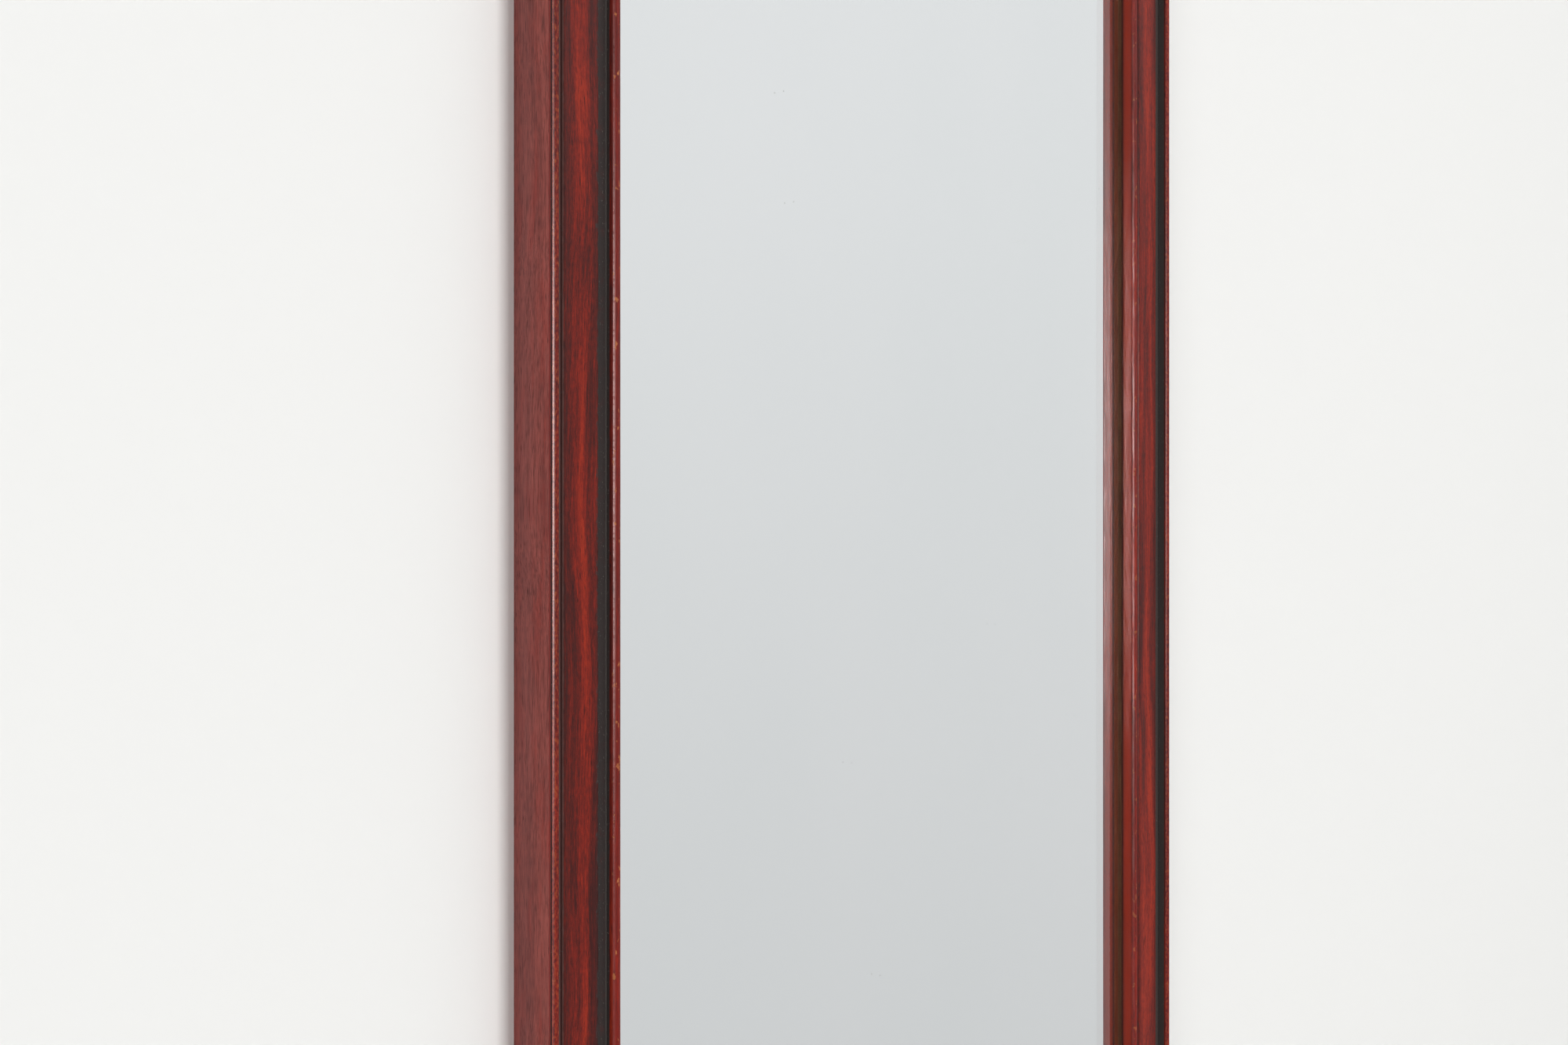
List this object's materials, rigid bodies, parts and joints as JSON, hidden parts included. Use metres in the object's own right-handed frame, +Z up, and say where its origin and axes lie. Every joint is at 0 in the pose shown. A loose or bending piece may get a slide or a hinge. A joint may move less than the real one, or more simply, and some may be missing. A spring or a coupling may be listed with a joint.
{
  "type": "framed wall mirror",
  "caption": "Tall narrow wall mirror in a mitred, moulded, red-stained wooden frame with black quirks, hung flush on keyhole plates let into its back.",
  "frame": {"origin": "midway between the entry holes of the keyhole plates, on the wall plane", "axes": "+X to the right as seen from the front, +Y into the wall, +Z up; the mirror faces -Y"},
  "size_m": [0.353, 0.0168, 1],
  "materials": {
    "stained_wood": "red-mahogany stain under a satin varnish, black in the quirks",
    "steel": "bright mild steel, slightly tarnished",
    "float_glass": "clear float glass",
    "silver": "silvered, with grey backing paint",
    "kraft_paper": "plain brown paper",
    "hardboard": "brown hardboard with its mesh side out",
    "cork": "fine cork",
    "brass": "brass, slightly dulled"
  },
  "bodies": {
    "root": {"left_stile": "stained_wood", "right_stile": "stained_wood", "top_rail": "stained_wood", "bottom_rail": "stained_wood", "corner_fastener_top_left": "steel", "corner_fastener_top_right": "steel", "corner_fastener_bottom_left": "steel", "corner_fastener_bottom_right": "steel", "mirror_glass": "float_glass", "silver_coat": "silver", "interleaf_sheet": "kraft_paper", "backing_board": "hardboard", "setting_blocks": "cork", "edge_packers": "cork", "board_pins": "steel", "left_keyhole_plate": "brass", "right_keyhole_plate": "brass", "left_plate_screws": "brass", "right_plate_screws": "brass"}
  },
  "joints": []
}
